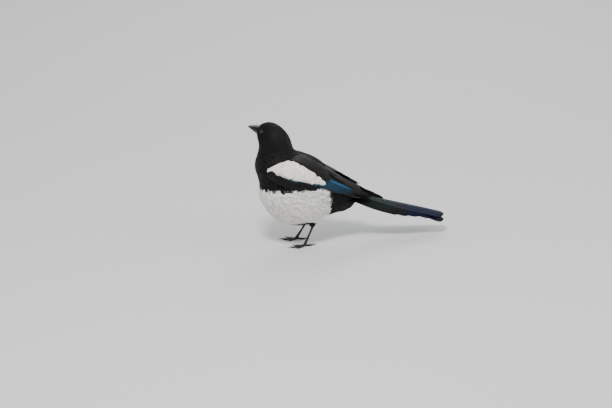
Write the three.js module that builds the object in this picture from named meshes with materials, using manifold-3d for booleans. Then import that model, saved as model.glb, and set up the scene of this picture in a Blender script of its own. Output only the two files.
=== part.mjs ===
// A Eurasian magpie (Pica pica) at life size, standing with its belly fluffed out and its head turned.
// Millimetres, +Z up, the bird faces +X and its left side is +Y. Z = 0 is the floor under its toes. The
// places below count from a point on the floor between the feet.

import * as THREE from 'three';
import { mergeVertices } from 'three/addons/utils/BufferGeometryUtils.js';
import Module from 'manifold-3d';

const wasm = await Module();
wasm.setup();

// Clearance between neighbouring nodes
const GAP = 0.35;

// Head: where its middle is, how far it turns to the bird's right and how far the bill points up
const HEAD_AT = [57, 0, 212];
const HEAD_TURN = -50;
const HEAD_PITCH = 9;

// Lumps of the head in its own frame: x forward, y left, z up
const HEAD_LUMPS = [
  { name: 'cranium', at: [-1, 0, 0.5], radii: [22, 18, 18.5] },
  { name: 'forecrown', at: [9, 0, 0], radii: [17, 13, 13] },
  { name: 'cheeks', at: [5, 0, -7], radii: [18, 15.5, 12] },
  { name: 'chin', at: [12, 0, -9], radii: [13, 8.5, 7.5] },
  { name: 'nape', at: [-11, 0, -8], radii: [19, 19, 20] },
];
const HEAD_BLEND = 7;

// Lumps of the neck and trunk; tilt lifts the front end
const BODY_LUMPS = [
  { name: 'neck', at: [48, 0, 186], radii: [29, 27, 30], tilt: -12 },
  { name: 'breast', at: [46, 0, 151], radii: [39, 40, 38], tilt: 0 },
  { name: 'trunk', at: [8, 0, 102], radii: [71, 50, 64], tilt: 35 },
  { name: 'mantle', at: [0, 0, 124], radii: [60, 46, 39], tilt: 30 },
  { name: 'rump', at: [-52, 0, 94], radii: [47, 26, 26], tilt: 14 },
  { name: 'vent', at: [-62, 0, 71], radii: [33, 19, 17], tilt: -12 },
];
const BODY_BLEND = 14;

// Cuts that part the body: a point on each plane and its normal, towards the head or the tail
const HEAD_CUT = { at: [53, 0, 192], normal: [0.22, 0, 0.975] };
const NECK_CUT = { at: [44, 0, 168], normal: [0.3, 0, 0.954] };
const TAIL_CUT = { at: [-76, 0, 92], normal: [-0.98, 0, -0.199] };

// The folded wings and the back together make one cloak. Each station gives, at x, the height of the
// ridge, the height of the widest place and the half width there.
const CLOAK = [
  { x: -165, top: 77, side: 75, half: 5 },
  { x: -124, top: 92, side: 88, half: 12 },
  { x: -94, top: 109, side: 99, half: 24 },
  { x: -56, top: 131, side: 112, half: 37 },
  { x: -30, top: 147, side: 121, half: 44 },
  { x: 0, top: 163, side: 130, half: 48 },
  { x: 40, top: 170, side: 138, half: 45 },
  { x: 80, top: 164, side: 147, half: 32 },
];
const CLOAK_SQUARE = 0.75;

// The arm of a folded wing under its shoulder feathers, a lens on the cloak: x in mm, phi in degrees
// down from the ridge, half length in mm, half span in degrees and half thickness in mm
const ARM = { x: 16, phi: 79, length: 58, span: 50, thick: 6.2 };

// Wing feathers in tiers. From and to give the first and the last feather of a tier, and the others
// lie evenly between. Each has its root and tip as [x, phi], its width, and its depth on the cloak.
// Towards its tip, tilt lifts the lower edge of a feather over the next one down, and rise lifts it all.
const WING_TIERS = [
  { name: 'primaries', count: 6, width: [13, 11], depth: [-0.4, -2.9], tilt: 1.4, rise: 0,
    from: { root: [-6, 88], tip: [-101, 72] }, to: { root: [20, 112], tip: [-124, 98] } },
  { name: 'secondaries', count: 5, width: [19, 15], depth: [2.4, 0.2], tilt: 2.2, rise: 0.4,
    from: { root: [0, 60], tip: [-99, 46] }, to: { root: [8, 96], tip: [-78, 88] } },
  { name: 'tertials', count: 3, width: [19, 20], depth: [4.4, 3.2], tilt: 2.0, rise: 0.9,
    from: { root: [12, 62], tip: [-62, 17] }, to: { root: [6, 62], tip: [-90, 32] } },
  { name: 'greater_coverts', count: 4, width: [15, 14], depth: [3.8, 1.8], tilt: 2.0, rise: 1.2,
    from: { root: [6, 66], tip: [-44, 62] }, to: { root: [42, 104], tip: [-8, 104] } },
  { name: 'primary_coverts', count: 2, width: [12, 10], depth: [0.6, 0.0], tilt: 1.2, rise: 0.6,
    from: { root: [36, 108], tip: [-10, 112] }, to: { root: [44, 114], tip: [14, 122] } },
  { name: 'scapulars', count: 4, width: [20, 17], depth: [5.2, 3.4], tilt: 2.0, rise: 1.8,
    from: { root: [6, 64], tip: [-44, 58] }, to: { root: [48, 84], tip: [8, 92] } },
];
const VANE_THICK = 0.5;

// The right wing hangs a little further back, and its longest feathers show past the left wing
const RIGHT_WING_BACK = 7;
const RIGHT_TIP_LONGER = 20;

// Tail: six feathers a side, the middle pair longest and on top. The tail is closed, so each feather lies
// mostly under the next one in, and all of them slope down to the sides like a roof.
const TAIL_ROOT = [-72, 0, 95];
const TAIL_BASE_AT = [-90, 0, 89];
const TAIL_SLOPE = 16.6;
const TAIL_LENGTH = 206;
const TAIL_SHARES = [1.0, 0.93, 0.84, 0.75, 0.66, 0.56];
const TAIL_WIDTH = 23;
const TAIL_ROOT_WIDTH = 8;
const TAIL_SHIFT = [1.5, 4.4, 6.8, 9, 10.8, 12.4];
const TAIL_ROOT_SHIFT = 0.5;
const TAIL_ROOF = 0.5;
const TAIL_BOW = 6;
const TAIL_LAYER = 1.7;
const TAIL_DEPTH = 15;

// Eyes, in the head's frame
const EYE_AT = [8.5, 12.3, 2.5];
const EYE_RADIUS = 5.2;
const LID_RADIUS = 4.3;
const LID_THICK = 1;
const LID_OUT = 0.1;

// Bill, in the head's frame: stations from the root to the tip
const BILL_STATIONS = [
  { x: 14, top: 7.4, bottom: -12.9, half: 7.4 },
  { x: 22, top: 7.0, bottom: -12.4, half: 6.4 },
  { x: 29, top: 5.4, bottom: -10.8, half: 5.1 },
  { x: 36, top: 3.2, bottom: -8.7, half: 3.8 },
  { x: 42.5, top: 0.7, bottom: -6.8, half: 2.5 },
  { x: 48.2, top: -2.4, bottom: -5.0, half: 1.1 },
];
const MOUTH = [-7.2, -6.0, -4.8, -4.0, -3.7, -3.9];
const HOOK = { x: 50.4, z: -4.4 };
const NOSTRIL = { at: [26, 5.4, 0.6], radius: 1.0 };

// Legs: the heel, the joint of the toes and the way that each foot points
const LEGS = {
  left: { side: 1, heel: [-20, 19, 45], foot: [-1, 21, 4.6], heading: 6 },
  right: { side: -1, heel: [-22, -19, 45], foot: [3, -21, 4.6], heading: -10 },
};
const TARSUS_RADIUS = 1.9;
const SHANK = { from: 0.1, to: 0.9, knuckle: 1.2 };
const TOES = [
  { angle: -27, length: 17, claw: 7 },
  { angle: 0, length: 25, claw: 8 },
  { angle: 25, length: 18, claw: 7 },
  { angle: 180, length: 14, claw: 9 },
];
const TOE_RADIUS = 1.9;
const TOE_REST = 0.84;

const COLOURS = {
  black: 0x15151a,
  white: 0xe9e7e2,
  wing: 0x1b3d63,
  tail: 0x14252b,
  bill: 0x1a1a1c,
  eye: 0x120c08,
  leg: 0x17171a,
};

const rad = THREE.MathUtils.degToRad;
const lerp = THREE.MathUtils.lerp;

// Solids

function toSolid(geometry) {
  let plain = geometry.clone();
  plain.deleteAttribute('normal');
  plain.deleteAttribute('uv');
  plain = mergeVertices(plain, 1e-4);
  const triVerts = new Uint32Array(plain.index.array);
  const mesh = new wasm.Mesh({ numProp: 3, vertProperties: plain.attributes.position.array, triVerts });
  const solid = new wasm.Manifold(mesh);
  if (solid.volume() > 0) return solid;
  for (let i = 0; i < triVerts.length; i += 3) {
    [triVerts[i + 1], triVerts[i + 2]] = [triVerts[i + 2], triVerts[i + 1]];
  }
  return new wasm.Manifold(new wasm.Mesh({ numProp: 3, vertProperties: plain.attributes.position.array, triVerts }));
}

function toGeometry(solid) {
  const mesh = solid.getMesh();
  const geometry = new THREE.BufferGeometry();
  geometry.setAttribute('position', new THREE.BufferAttribute(mesh.vertProperties, 3));
  geometry.setIndex(new THREE.BufferAttribute(mesh.triVerts, 1));
  geometry.computeVertexNormals();
  return geometry;
}

function largest(solid) {
  return solid.decompose().reduce((a, b) => (a.volume() >= b.volume() ? a : b));
}

function union(solids) {
  return solids.reduce((a, b) => a.add(b));
}

// A large block whose near face is the plane, on the side that the normal points to
function beyond(cut, shift = 0) {
  const size = 700;
  const normal = new THREE.Vector3(...cut.normal).normalize();
  const block = new THREE.BoxGeometry(size, size, size);
  block.applyQuaternion(new THREE.Quaternion().setFromUnitVectors(new THREE.Vector3(0, 0, 1), normal));
  const middle = new THREE.Vector3(...cut.at).addScaledVector(normal, size / 2 + shift);
  block.translate(middle.x, middle.y, middle.z);
  return toSolid(block);
}

function reversed(cut) {
  return { at: cut.at, normal: cut.normal.map((n) => -n) };
}

const FLOOR = { at: [0, 0, 0], normal: [0, 0, -1] };

// Flesh as a field: negative inside, and lumps melt into one another

function lump({ at, radii }, frame) {
  const toLocal = frame.clone().multiply(new THREE.Matrix4().makeTranslation(...at)).invert();
  const [a, b, c] = radii;
  return (p) => {
    const q = p.clone().applyMatrix4(toLocal);
    const near = Math.hypot(q.x / a, q.y / b, q.z / c);
    const slope = Math.hypot(q.x / (a * a), q.y / (b * b), q.z / (c * c));
    return slope < 1e-9 ? -Math.min(a, b, c) : (near * (near - 1)) / slope;
  };
}

function melt(a, b, reach) {
  const h = Math.max(reach - Math.abs(a - b), 0) / reach;
  return Math.min(a, b) - (h * h * reach) / 4;
}

const headFrame = new THREE.Matrix4()
  .makeRotationFromEuler(new THREE.Euler(0, -rad(HEAD_PITCH), rad(HEAD_TURN), 'ZYX'))
  .setPosition(...HEAD_AT);

const headLumps = HEAD_LUMPS.map((l) => lump(l, headFrame));
const bodyLumps = BODY_LUMPS.map((l) => {
  const frame = new THREE.Matrix4().makeRotationY(-rad(l.tilt)).setPosition(...l.at);
  return lump({ at: [0, 0, 0], radii: l.radii }, frame);
});

function flesh(p) {
  const head = headLumps.map((f) => f(p)).reduce((a, b) => melt(a, b, HEAD_BLEND));
  const body = bodyLumps.map((f) => f(p)).reduce((a, b) => melt(a, b, BODY_BLEND));
  return melt(head, body, BODY_BLEND);
}

// A sphere whose points are pushed out from a centre to the skin, and margin further
function fleshSolid(centre, around, along, margin = 0) {
  const sphere = new THREE.SphereGeometry(1, around, along);
  const position = sphere.attributes.position;
  const middle = new THREE.Vector3(...centre);
  const step = 3;
  for (let i = 0; i < position.count; i++) {
    const way = new THREE.Vector3().fromBufferAttribute(position, i).normalize();
    const at = (distance) => middle.clone().addScaledVector(way, distance);
    let near = 0;
    let far = step;
    while (flesh(at(far)) < margin) {
      near = far;
      far += step;
    }
    for (let k = 0; k < 20; k++) {
      const half = (near + far) / 2;
      if (flesh(at(half)) < margin) near = half;
      else far = half;
    }
    const p = at(far);
    position.setXYZ(i, p.x, p.y, p.z);
  }
  return toSolid(sphere);
}

// Lofts

// A closed loft through rings of points, each ring the same length
function loft(rings) {
  const sides = rings[0].length;
  const points = rings.flat();
  const index = [];
  for (let i = 0; i + 1 < rings.length; i++) {
    for (let j = 0; j < sides; j++) {
      const k = (j + 1) % sides;
      const [a, b, c, d] = [i * sides + j, i * sides + k, (i + 1) * sides + k, (i + 1) * sides + j];
      index.push(a, b, c, a, c, d);
    }
  }
  for (const [ring, turn] of [[0, 1], [rings.length - 1, -1]]) {
    const hub = points.length;
    const middle = rings[ring].reduce((sum, p) => sum.add(p), new THREE.Vector3()).divideScalar(sides);
    points.push(middle);
    for (let j = 0; j < sides; j++) {
      const [a, b] = [ring * sides + j, ring * sides + ((j + 1) % sides)];
      if (turn > 0) index.push(hub, b, a);
      else index.push(hub, a, b);
    }
  }
  const geometry = new THREE.BufferGeometry().setFromPoints(points);
  geometry.setIndex(index);
  return toSolid(geometry);
}

// A round tube through points, with a radius at each
function tube(points, radii, sides = 8) {
  const vectors = points.map((p) => new THREE.Vector3(...p));
  const rings = vectors.map((p, i) => {
    const before = vectors[Math.max(i - 1, 0)];
    const after = vectors[Math.min(i + 1, vectors.length - 1)];
    const way = after.clone().sub(before).normalize();
    const turn = new THREE.Quaternion().setFromUnitVectors(new THREE.Vector3(0, 0, 1), way);
    return Array.from({ length: sides }, (_, j) => {
      const angle = ((j + 0.5) / sides) * 2 * Math.PI;
      return new THREE.Vector3(Math.cos(angle), Math.sin(angle), 0)
        .multiplyScalar(radii[i]).applyQuaternion(turn).add(p);
    });
  });
  return loft(rings);
}

// A thin plate from rows of [top, bottom] pairs, split alike on both faces
function plate(rows) {
  const rings = rows.map((row) => [...row.map((pair) => pair[0]), ...row.map((pair) => pair[1]).reverse()]);
  return loft(rings);
}

// Feathers

const VANE_STEPS = [0, 0.35, 0.76, 0.93, 1];
const VANE_SHARE = [0.5, 0.92, 1, 0.7, 0.24];

// A value between the stations of a table, on a smooth curve
function between(table, key, x) {
  const last = table.length - 1;
  let i = 0;
  while (i < last - 1 && x > table[i + 1].x) i++;
  const slope = (k) => {
    const [a, b] = [table[Math.max(k - 1, 0)], table[Math.min(k + 1, last)]];
    return (b[key] - a[key]) / (b.x - a.x);
  };
  const [a, b] = [table[i], table[i + 1]];
  const width = b.x - a.x;
  const t = THREE.MathUtils.clamp((x - a.x) / width, 0, 1);
  const [t2, t3] = [t * t, t * t * t];
  return (2 * t3 - 3 * t2 + 1) * a[key] + (t3 - 2 * t2 + t) * width * slope(i)
    + (3 * t2 - 2 * t3) * b[key] + (t3 - t2) * width * slope(i + 1);
}

// A point on the cloak: x, degrees down from the ridge, height over the surface, side of the bird
function onCloak(x, phi, depth, side) {
  const [top, widest, half] = ['top', 'side', 'half'].map((key) => between(CLOAK, key, x));
  const angle = rad(phi);
  const out = Math.sign(Math.sin(angle)) * Math.abs(Math.sin(angle)) ** CLOAK_SQUARE;
  return new THREE.Vector3(x, side * (half + depth) * out, widest + (top - widest + depth) * Math.cos(angle));
}

function degreesAcross(x, phi, width) {
  const step = 2;
  const arc = onCloak(x, phi + step, 0, 1).distanceTo(onCloak(x, phi - step, 0, 1));
  return (width / arc) * 2 * step;
}

// One feather on the cloak. Its root lies inside the arm, and its lower edge stands over the next one.
function wingVane({ root, tip, width, depth, tilt, rise }, side) {
  const rows = VANE_STEPS.map((t, i) => {
    const x = lerp(root[0], tip[0], t);
    const phi = lerp(root[1], tip[1], t);
    const half = degreesAcross(x, phi, (width * VANE_SHARE[i]) / 2);
    return [-1, 0, 1].map((v) => {
      const level = depth + (rise + (tilt * v * VANE_SHARE[i]) / 2) * t;
      return [VANE_THICK / 2, -VANE_THICK / 2].map((h) => onCloak(x, phi + v * half, level + h, side));
    });
  });
  return plate(rows);
}

function tierFeathers(tier, back, longer) {
  return Array.from({ length: tier.count }, (_, i) => {
    const t = tier.count > 1 ? i / (tier.count - 1) : 0;
    const pair = (end) => [lerp(tier.from[end][0], tier.to[end][0], t), lerp(tier.from[end][1], tier.to[end][1], t)];
    const root = pair('root');
    const tip = pair('tip');
    const reach = tier.name === 'primaries' ? longer * t : 0;
    return {
      root: [root[0] - back, root[1]],
      tip: [tip[0] - back - reach, tip[1]],
      width: lerp(tier.width[0], tier.width[1], t),
      depth: lerp(tier.depth[0], tier.depth[1], t),
      tilt: tier.tilt,
      rise: tier.rise,
    };
  });
}

// The arm: a sphere bent on to the cloak
function armSolid(side, back, margin = 0) {
  const sphere = new THREE.SphereGeometry(1, 18, 12);
  sphere.rotateX(Math.PI / 2);
  const position = sphere.attributes.position;
  for (let i = 0; i < position.count; i++) {
    const [u, v, w] = [position.getX(i), position.getY(i), position.getZ(i)];
    const x = ARM.x - back + (ARM.length + margin) * u;
    const phi = ARM.phi + (ARM.span + margin) * v;
    const p = onCloak(x, phi, (ARM.thick + margin) * w, side);
    position.setXYZ(i, p.x, p.y, p.z);
  }
  return toSolid(sphere);
}

function wingSolid(side, trunkCut) {
  const back = side > 0 ? 0 : RIGHT_WING_BACK;
  const longer = side > 0 ? 0 : RIGHT_TIP_LONGER;
  const vanes = WING_TIERS.flatMap((tier) => tierFeathers(tier, back, longer)).map((f) => wingVane(f, side));
  const clear = union(vanes).subtract(trunkCut);
  return largest(armSolid(side, back).add(clear));
}

// Tail

const tailAway = new THREE.Vector3(-Math.cos(rad(TAIL_SLOPE)), 0, -Math.sin(rad(TAIL_SLOPE)));
const tailUp = new THREE.Vector3(-Math.sin(rad(TAIL_SLOPE)), 0, Math.cos(rad(TAIL_SLOPE)));

// The space behind and over the vent, which belongs to the tail
function tailSpace(shift = 0) {
  const under = new THREE.Vector3(...TAIL_ROOT).addScaledVector(tailUp, -TAIL_DEPTH);
  return beyond(TAIL_CUT, shift).intersect(beyond({ at: under.toArray(), normal: tailUp.toArray() }, shift));
}

function tailVane(k, side) {
  const steps = [0, 0.3, 0.65, 0.88, 0.97, 1];
  const share = [0.42, 0.7, 1, 0.92, 0.6, 0.22];
  const length = TAIL_LENGTH * TAIL_SHARES[k];
  const rows = steps.map((t, i) => {
    const along = t * length;
    const half = Math.max(TAIL_ROOT_WIDTH * (1 - t), TAIL_WIDTH * share[i]) / 2;
    const middle = lerp(TAIL_ROOT_SHIFT * (k + 1), TAIL_SHIFT[k], Math.min(1, along / (0.6 * TAIL_LENGTH)));
    return [-1, 0, 1].map((v) => {
      const across = middle + v * half;
      const bow = TAIL_BOW;
      const roof = TAIL_ROOF * (Math.hypot(across, bow) - bow);
      const level = -TAIL_LAYER * (k + (side > 0 ? 0 : 0.5)) - roof;
      return [VANE_THICK / 2, -VANE_THICK / 2].map((h) => new THREE.Vector3(...TAIL_ROOT)
        .addScaledVector(tailAway, along).addScaledVector(tailUp, level + h)
        .add(new THREE.Vector3(0, side * across, 0)));
    });
  });
  return plate(rows);
}

function tailBase(margin = 0) {
  return fleshSolid(TAIL_BASE_AT, 18, 12, margin);
}

function tailSolid() {
  const base = tailBase();
  const vanes = [];
  for (const side of [1, -1]) {
    for (let k = 0; k < TAIL_SHARES.length; k++) vanes.push(tailVane(k, side));
  }
  const whole = union([base, ...vanes]);
  return largest(whole.intersect(tailSpace(GAP)));
}

// Head

function inHead(x, y, z) {
  return new THREE.Vector3(x, y, z).applyMatrix4(headFrame);
}

function ball(centre, radius, detail = 2) {
  const geometry = new THREE.IcosahedronGeometry(radius, detail);
  geometry.translate(centre.x, centre.y, centre.z);
  return toSolid(geometry);
}

function eyeCentre(side) {
  return inHead(EYE_AT[0], side * EYE_AT[1], EYE_AT[2]);
}

// The way straight out of the flesh at a point
function outOfFlesh(p) {
  const step = 0.5;
  const slope = (axis) => flesh(p.clone().addScaledVector(axis, step)) - flesh(p.clone().addScaledVector(axis, -step));
  const axes = [new THREE.Vector3(1, 0, 0), new THREE.Vector3(0, 1, 0), new THREE.Vector3(0, 0, 1)];
  return new THREE.Vector3(...axes.map(slope)).normalize();
}

// The rim of the lids lies round the eye, half out of the head
function lidSolid(side) {
  const ring = new THREE.TorusGeometry(LID_RADIUS, LID_THICK, 5, 16);
  const centre = eyeCentre(side);
  const outward = outOfFlesh(centre);
  ring.applyQuaternion(new THREE.Quaternion().setFromUnitVectors(new THREE.Vector3(0, 0, 1), outward));
  const middle = centre.addScaledVector(outward, -flesh(centre) + LID_OUT);
  ring.translate(middle.x, middle.y, middle.z);
  return toSolid(ring);
}

function headSolid() {
  const whole = union([fleshSolid(HEAD_AT, 30, 20), lidSolid(1), lidSolid(-1)]);
  const sockets = union([1, -1].map((side) => ball(eyeCentre(side), EYE_RADIUS + GAP)));
  return largest(whole.subtract(sockets).subtract(beyond(reversed(HEAD_CUT), -GAP / 2)));
}

// Half of the bill, above or below the line of the mouth
function billRing(station, from, to, mouthGap) {
  const sides = 12;
  const middle = from + mouthGap;
  return Array.from({ length: sides }, (_, j) => {
    const angle = (j / (sides - 1)) * Math.PI;
    const y = station.half * Math.cos(angle);
    const z = middle + (to - middle) * Math.sin(angle) ** 0.8;
    return inHead(station.x, y, z);
  });
}

function billHalf(upper, headCut) {
  const rings = BILL_STATIONS.map((s, i) => billRing(s, MOUTH[i], upper ? s.top : s.bottom, upper ? GAP / 2 : -GAP / 2));
  if (upper) {
    const tip = { x: HOOK.x, half: 0.5 };
    rings.push(billRing(tip, HOOK.z - 0.9, HOOK.z + 0.3, 0));
  }
  const solid = loft(rings).subtract(headCut);
  if (!upper) return largest(solid);
  const nostrils = [1, -1].map((side) => ball(inHead(NOSTRIL.at[0], side * NOSTRIL.at[1], NOSTRIL.at[2]), NOSTRIL.radius, 1));
  return largest(solid.subtract(union(nostrils)));
}

// Legs

// The shin's line from the heel down to the toes: a point at a share of its length
function alongShin(leg, t) {
  return new THREE.Vector3(...leg.heel).lerp(new THREE.Vector3(...leg.foot), t).toArray();
}

function thighSolid(leg, trunkCut) {
  const [x, y, z] = leg.heel;
  const points = [
    [x + 14, y * 1.02, z + 34], [x + 7, y * 1.01, z + 15], [x + 1.5, y, z + 3],
    alongShin(leg, 0.03), alongShin(leg, SHANK.from),
  ];
  const whole = tube(points, [11, 8.5, 4.6, 3, TARSUS_RADIUS * SHANK.knuckle], 12);
  return largest(whole.subtract(trunkCut));
}

function shankSolid(leg) {
  const gap = GAP / new THREE.Vector3(...leg.heel).distanceTo(new THREE.Vector3(...leg.foot));
  const stops = [SHANK.from + gap, SHANK.from + 0.16, 0.66, SHANK.to];
  const swell = [SHANK.knuckle, 0.95, 0.9, SHANK.knuckle];
  return tube(stops.map((t) => alongShin(leg, t)), swell.map((v) => v * TARSUS_RADIUS), 10);
}

// A toe with its claw, flat underneath, pointing along +X from the middle of the foot
function toeSolid({ length, claw }) {
  const along = [0, 0.38 * length, 0.52 * length, 0.9 * length, length, length + 0.4 * claw, length + claw];
  const radii = [1.15, 0.84, 1.04, 0.84, 0.62, 0.5, 0.16].map((v) => v * TOE_RADIUS);
  const lift = [1.4, 0.3, 0, 0, 0.5, 0.9, 0.15];
  return tube(along.map((x, i) => [x, 0, TOE_REST * radii[i] + lift[i]]), radii, 7);
}

function footSolid(leg) {
  const [x, y] = leg.foot;
  const toes = TOES.map((toe) => toeSolid(toe).rotate([0, 0, leg.heading + toe.angle * leg.side]).translate([x, y, 0]));
  const gap = GAP / new THREE.Vector3(...leg.heel).distanceTo(new THREE.Vector3(...leg.foot));
  const ankle = tube([alongShin(leg, SHANK.to + gap), alongShin(leg, 0.97), [x, y, TOE_RADIUS]],
    [TARSUS_RADIUS * SHANK.knuckle, 2.5, 2.9], 10);
  return largest(union([ankle, ...toes]).subtract(beyond(FLOOR)));
}

// Assembly

function mesh(name, solid, colour, roughness = 0.7, metalness = 0) {
  const material = new THREE.MeshStandardMaterial({ color: colour, roughness, metalness });
  const made = new THREE.Mesh(toGeometry(solid), material);
  made.name = name;
  return made;
}

const magpie = new THREE.Group();
magpie.name = 'magpie';

const trunkCentre = [8, 0, 104];
const trunkCut = fleshSolid(trunkCentre, 36, 26, GAP).add(tailBase(GAP));
const arms = union([armSolid(1, 0, GAP), armSolid(-1, RIGHT_WING_BACK, GAP)]);

const torso = largest(fleshSolid(trunkCentre, 36, 26).subtract(arms)
  .subtract(beyond(NECK_CUT, -GAP / 2)).subtract(tailSpace()));
const neck = largest(fleshSolid([50, 0, 180], 28, 20).subtract(arms)
  .subtract(beyond(HEAD_CUT, -GAP / 2)).subtract(beyond(reversed(NECK_CUT), -GAP / 2)));
magpie.add(mesh('torso', torso, COLOURS.white));
magpie.add(mesh('neck', neck, COLOURS.black));
magpie.add(mesh('head', headSolid(), COLOURS.black));

const headCut = fleshSolid(HEAD_AT, 32, 22, GAP);
magpie.add(mesh('bill_upper', billHalf(true, headCut), COLOURS.bill, 0.35));
magpie.add(mesh('bill_lower', billHalf(false, headCut), COLOURS.bill, 0.35));

for (const [name, side] of [['eye_left', 1], ['eye_right', -1]]) {
  const eye = mesh(name, ball(new THREE.Vector3(), EYE_RADIUS), COLOURS.eye, 0.05);
  eye.position.copy(eyeCentre(side));
  magpie.add(eye);
}

magpie.add(mesh('wing_left', wingSolid(1, trunkCut), COLOURS.wing, 0.4));
magpie.add(mesh('wing_right', wingSolid(-1, trunkCut), COLOURS.wing, 0.4));
magpie.add(mesh('tail', tailSolid(), COLOURS.tail, 0.35));

for (const [name, leg] of Object.entries(LEGS)) {
  const foot = footSolid(leg);
  const shank = shankSolid(leg);
  const thigh = thighSolid(leg, trunkCut);
  magpie.add(mesh('thigh_' + name, thigh, COLOURS.black));
  magpie.add(mesh('tarsus_' + name, shank, COLOURS.leg, 0.5));
  magpie.add(mesh('foot_' + name, foot, COLOURS.leg, 0.5));
}

// The origin is on the floor under the middle of the whole bird
const box = new THREE.Box3().setFromObject(magpie, true);
magpie.position.set(-(box.min.x + box.max.x) / 2, -(box.min.y + box.max.y) / 2, -box.min.z);

export default magpie;
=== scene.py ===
"""A eurasian magpie, life size, standing with its head turned: skin, feathers, bill, eyes and legs.

Sizes are in mm in the bird's own frame: x to its front, y to its left, z up, from a point on the floor
between the feet. Only the last step moves points to the frame of the CAD part, in metres.
"""

import math

import bpy
import numpy as np
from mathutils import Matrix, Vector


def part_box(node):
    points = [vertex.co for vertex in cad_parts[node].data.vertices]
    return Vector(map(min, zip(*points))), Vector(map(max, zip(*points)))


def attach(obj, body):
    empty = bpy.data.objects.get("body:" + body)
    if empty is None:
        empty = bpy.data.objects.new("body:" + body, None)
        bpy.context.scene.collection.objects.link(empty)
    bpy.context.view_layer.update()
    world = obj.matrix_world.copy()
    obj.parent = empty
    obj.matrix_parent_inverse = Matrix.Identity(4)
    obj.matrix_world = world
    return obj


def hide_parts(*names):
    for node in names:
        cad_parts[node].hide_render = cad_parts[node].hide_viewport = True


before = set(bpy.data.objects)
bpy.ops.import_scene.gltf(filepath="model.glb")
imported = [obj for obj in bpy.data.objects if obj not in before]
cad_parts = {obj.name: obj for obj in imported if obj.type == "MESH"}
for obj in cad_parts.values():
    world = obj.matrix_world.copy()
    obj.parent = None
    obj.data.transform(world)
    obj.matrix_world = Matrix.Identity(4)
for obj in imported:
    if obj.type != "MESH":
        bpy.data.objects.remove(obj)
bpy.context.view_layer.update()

# Head: its place, its turn to the left and its pitch in degrees
HEAD_AT = np.array([57.0, 0.0, 212.0])
HEAD_TURN = -50
HEAD_PITCH = 9

# Lumps of flesh: centre, radii and tilt. Those of the head are in its own frame.
HEAD_LUMPS = {
    "cranium": ((-1, 0, 0.5), (22, 18, 18.5)),
    "forecrown": ((9, 0, 0), (17, 13, 13)),
    "cheeks": ((5, 0, -7), (18, 15.5, 12)),
    "chin": ((12, 0, -9), (13, 8.5, 7.5)),
    "nape": ((-11, 0, -8), (19, 19, 20)),
}
BODY_LUMPS = {
    "neck": ((48, 0, 186), (29, 27, 30), -12),
    "breast": ((46, 0, 151), (39, 40, 38), 0),
    "trunk": ((8, 0, 102), (71, 50, 64), 35),
    "mantle": ((0, 0, 124), (60, 46, 39), 30),
    "rump": ((-52, 0, 94), (47, 26, 26), 14),
    "vent": ((-62, 0, 71), (33, 19, 17), -12),
}
HEAD_BLEND = 7
BODY_BLEND = 14
THIGH_BLEND = 7

# Legs: heel and foot, and the way that each foot points in degrees
LEGS = {
    "left": {"side": 1, "heel": np.array([-20, 19, 45]), "foot": np.array([-1, 21, 4.6]), "heading": 6},
    "right": {"side": -1, "heel": np.array([-22, -19, 45]), "foot": np.array([3, -21, 4.6]), "heading": -10},
}
# The thigh from the belly to the heel: steps from the heel along x and z, and radii
THIGH = [((14, 34), 12.0), ((7, 15), 9.0), ((1.5, 3), 5.0), ((0, 0), 3.2)]

# The cloak that the folded wings and the back make together: places along x, its ridge, the height where
# it is widest and half its width there, how square it is, and how far its lower edge hangs. The folded arm
# stands out of it, and x and phi, the degrees down from the ridge, say where.
CLOAK_X = [-165, -124, -94, -56, -30, 0, 40, 80]
CLOAK_TOP = [77, 92, 109, 131, 147, 163, 170, 164]
CLOAK_SIDE = [75, 88, 99, 112, 121, 130, 138, 147]
CLOAK_HALF = [5, 12, 24, 37, 44, 48, 45, 32]
CLOAK_SQUARE = 0.75
CLOAK_HANG = 26
ARM = {"x": 16, "phi": 79, "length": 58, "span": 50, "thick": 6.2}
# The right wing lies further back, its primaries reach further, and its upper tiers lie higher, in degrees
RIGHT_WING_BACK = 7
RIGHT_TIP_LONGER = 20
RIGHT_WING_HIGHER = 22

# Depth of the coat over the skin
BACK_DEPTH = 3.6
BELLY_DEPTH = 5.0
NAPE_DEPTH = 2.4
FACE_DEPTH = 1.1
LEG_DEPTH = 1.0

# The white belly: the height of its upper edge, where it ends before the vent, and its ragged edge
BIB_HEIGHT = 113.5
VENT_AT = -41.5
RAGGED = 2.2
EDGE_SOFT = 1.2
RUMP_GREY = 0.3

# Eyes, in the head's frame
EYE_AT = np.array([8.5, 12.3, 2.5])
EYE_RADIUS = 5.2

# Bill stations in the head's frame: x, top, bottom, half width and the line of the mouth
BILL_X = [8, 14, 22, 29, 36, 42.5, 48.2, 50.4]
BILL_TOP = [7.4, 7.4, 7.0, 5.4, 3.2, 0.7, -2.4, -4.1]
BILL_BOTTOM = [-13.0, -12.9, -12.4, -10.8, -8.7, -6.8, -5.0, -4.6]
BILL_HALF = [7.6, 7.4, 6.4, 5.1, 3.8, 2.5, 1.1, 0.4]
BILL_MOUTH = [-8.0, -7.2, -6.0, -4.8, -4.0, -3.7, -3.9, -4.3]
NOSTRIL_AT = (26, 5.4, 0.6)

# Tail: root, slope in degrees, length with the share of it that each feather has from the middle out,
# widths, how far each feather's middle stands off, and the roof and the layers that they make
TAIL_ROOT = np.array([-72.0, 0.0, 95.0])
TAIL_SLOPE = 16.6
TAIL_LENGTH = 206
TAIL_SHARES = [0.985, 0.995, 0.87, 0.76, 0.66, 0.56]
TAIL_WIDTH = 23
TAIL_ROOT_WIDTH = 8
TAIL_SHIFT = [6.5, 8.5, 10.0, 11.4, 12.6, 13.8]
TAIL_ROOF = 0.62
TAIL_BOW = 6
TAIL_LAYER = 1.7
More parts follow.
